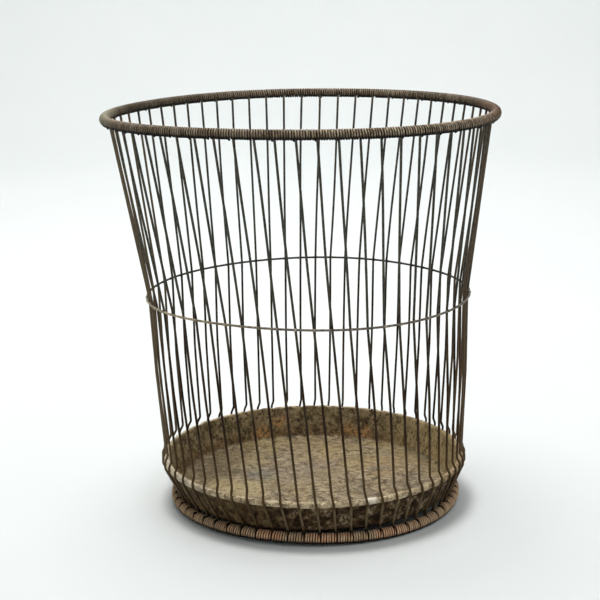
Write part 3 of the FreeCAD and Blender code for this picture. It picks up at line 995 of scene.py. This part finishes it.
    return s.finish(
        colour,
        roughness=s.line(mottle, 0.3, 0.5),
        height=s.math("ADD", s.product(mottle, 0.6), s.product(grain, 0.4)),
        bump_strength=0.8,
        bump_distance=0.0008,
        metallic=0.1,
        gloss=0.1,
    )


def core_material():
    """Bare hoop wire in the dark under the windings."""
    s = Shader("hidden_core_wire")
    mottle = s.noise(240.0, detail=5.0, roughness=0.6)
    colour = s.mix(s.between(mottle, 0.4, 0.65), srgb(24, 18, 13), srgb(48, 36, 26))
    return s.finish(
        colour,
        roughness=s.line(mottle, 0.3, 0.5),
        height=mottle,
        bump_strength=0.4,
        bump_distance=0.0004,
        metallic=0.2,
        gloss=0.2,
    )


def floor_material():
    """The plain pale studio floor."""
    s = Shader("pale_floor")
    tone = s.noise(3.0, detail=3.0, roughness=0.5)
    colour = s.mix(tone, srgb(217, 221, 221), srgb(223, 226, 225))
    return s.finish(
        colour,
        roughness=0.8,
        height=tone,
        bump_strength=0.05,
        bump_distance=0.001,
        metallic=0.0,
        gloss=0.2,
    )


# ---------------------------------------------------------------- stage

# the floor is flat to its last ring, curves up at this bend, and ends as a wall this high
FLOOR_RINGS, FLOOR_BEND, WALL_HEIGHT = (0.6, 1.4, 2.4), 0.8, 2.6
FLOOR_SEGMENTS, FLOOR_BEND_STEPS = 96, 12

# the camera: its lens in millimetres, its place in metres and its turns in radians
LENS, SENSOR = 89.49, 36.0
CAMERA_PLACE = (0.0, -1.3284, 0.5008)
CAMERA_HEADING, CAMERA_DIP, CAMERA_ROLL = 0.0095, 0.2323, -0.0098

SKY_COLOUR, SKY_STRENGTH = (0.99, 0.995, 1.0, 1.0), 0.3


def make_stage():
    """A pale floor that curves up to a wall all round, so that every side looks alike."""
    profile = [(reach, 0.0) for reach in FLOOR_RINGS]
    flat = FLOOR_RINGS[-1]
    for k in range(1, FLOOR_BEND_STEPS + 1):
        turn = math.pi / 2 * k / FLOOR_BEND_STEPS
        profile.append((flat + FLOOR_BEND * math.sin(turn), FLOOR_BEND * (1 - math.cos(turn))))
    profile.append((flat + FLOOR_BEND, WALL_HEIGHT))
    points = [(0.0, 0.0, 0.0)]
    for radius, rise in profile:
        for j in range(FLOOR_SEGMENTS):
            turn = math.tau * j / FLOOR_SEGMENTS
            points.append((radius * math.cos(turn), radius * math.sin(turn), rise))
    faces = [(0, 1 + j, 1 + (j + 1) % FLOOR_SEGMENTS) for j in range(FLOOR_SEGMENTS)]
    faces += grid_faces(len(profile), FLOOR_SEGMENTS, flip=True, first=1)
    mesh = bpy.data.meshes.new("studio_floor")
    mesh.from_pydata(points, [], faces)
    mesh.polygons.foreach_set("use_smooth", [True] * len(mesh.polygons))
    mesh.materials.append(floor_material())
    floor = bpy.data.objects.new("studio_floor", mesh)
    bpy.context.scene.collection.objects.link(floor)


def area_light(name, place, aim, size, power, colour=(1.0, 1.0, 1.0)):
    light = bpy.data.lights.new(name, "AREA")
    light.shape = "DISK"
    light.size = size
    light.energy = power
    light.color = colour
    lamp = bpy.data.objects.new(name, light)
    lamp.location = place
    way = np.array(aim) - np.array(place)
    lamp.rotation_euler = (
        math.atan2(math.hypot(way[0], way[1]), -way[2]),
        0.0,
        math.atan2(-way[0], way[1]),
    )
    bpy.context.scene.collection.objects.link(lamp)


def make_lights():
    """A soft key from above, a fill from the right, and a light on the wall behind."""
    area_light(
        "soft_key", place=(-0.30, 0.35, 2.4), aim=(0.0, 0.0, 0.1), size=1.0, power=46.0,
        colour=(1.0, 0.99, 0.97),
    )
    area_light("soft_side", place=(1.0, -0.8, 2.1), aim=(0.0, 0.0, 0.2), size=1.4, power=9.0)
    area_light("soft_back", place=(0.0, 2.1, 2.2), aim=(0.0, 2.5, 0.0), size=2.0, power=29.0)
    world = bpy.data.worlds.new("studio_air")
    world.use_nodes = True
    sky = world.node_tree.nodes["Background"]
    sky.inputs["Color"].default_value = SKY_COLOUR
    sky.inputs["Strength"].default_value = SKY_STRENGTH
    bpy.context.scene.world = world


def make_camera():
    lens = bpy.data.cameras.new("camera")
    lens.sensor_width = SENSOR
    lens.lens = LENS
    camera = bpy.data.objects.new("camera", lens)
    bpy.context.scene.collection.objects.link(camera)
    camera.matrix_world = (
        Matrix.Translation(CAMERA_PLACE)
        @ Matrix.Rotation(CAMERA_HEADING, 4, "Z")
        @ Matrix.Rotation(math.pi / 2 - CAMERA_DIP, 4, "X")
        @ Matrix.Rotation(CAMERA_ROLL, 4, "Z")
    )
    bpy.context.scene.camera = camera


# ---------------------------------------------------------------- build

make_camera()
wire = wire_material()
for number in range(UPRIGHTS):
    make_upright(number, wire)
make_middle_hoop(hoop_material())
make_pan(pan_material())
core = core_material()
make_core_hoop("top_hoop_core", TOP, TOP_WIRE, "top_hoop", core)
make_core_hoop("base_hoop_core", BASE, BASE_WIRE, "base_hoop", core)
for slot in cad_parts["pan_edge_wire"].material_slots:
    slot.material = core
make_stage()
make_lights()
bpy.context.scene.view_settings.view_transform = "Standard"

bpy.context.view_layer.update()
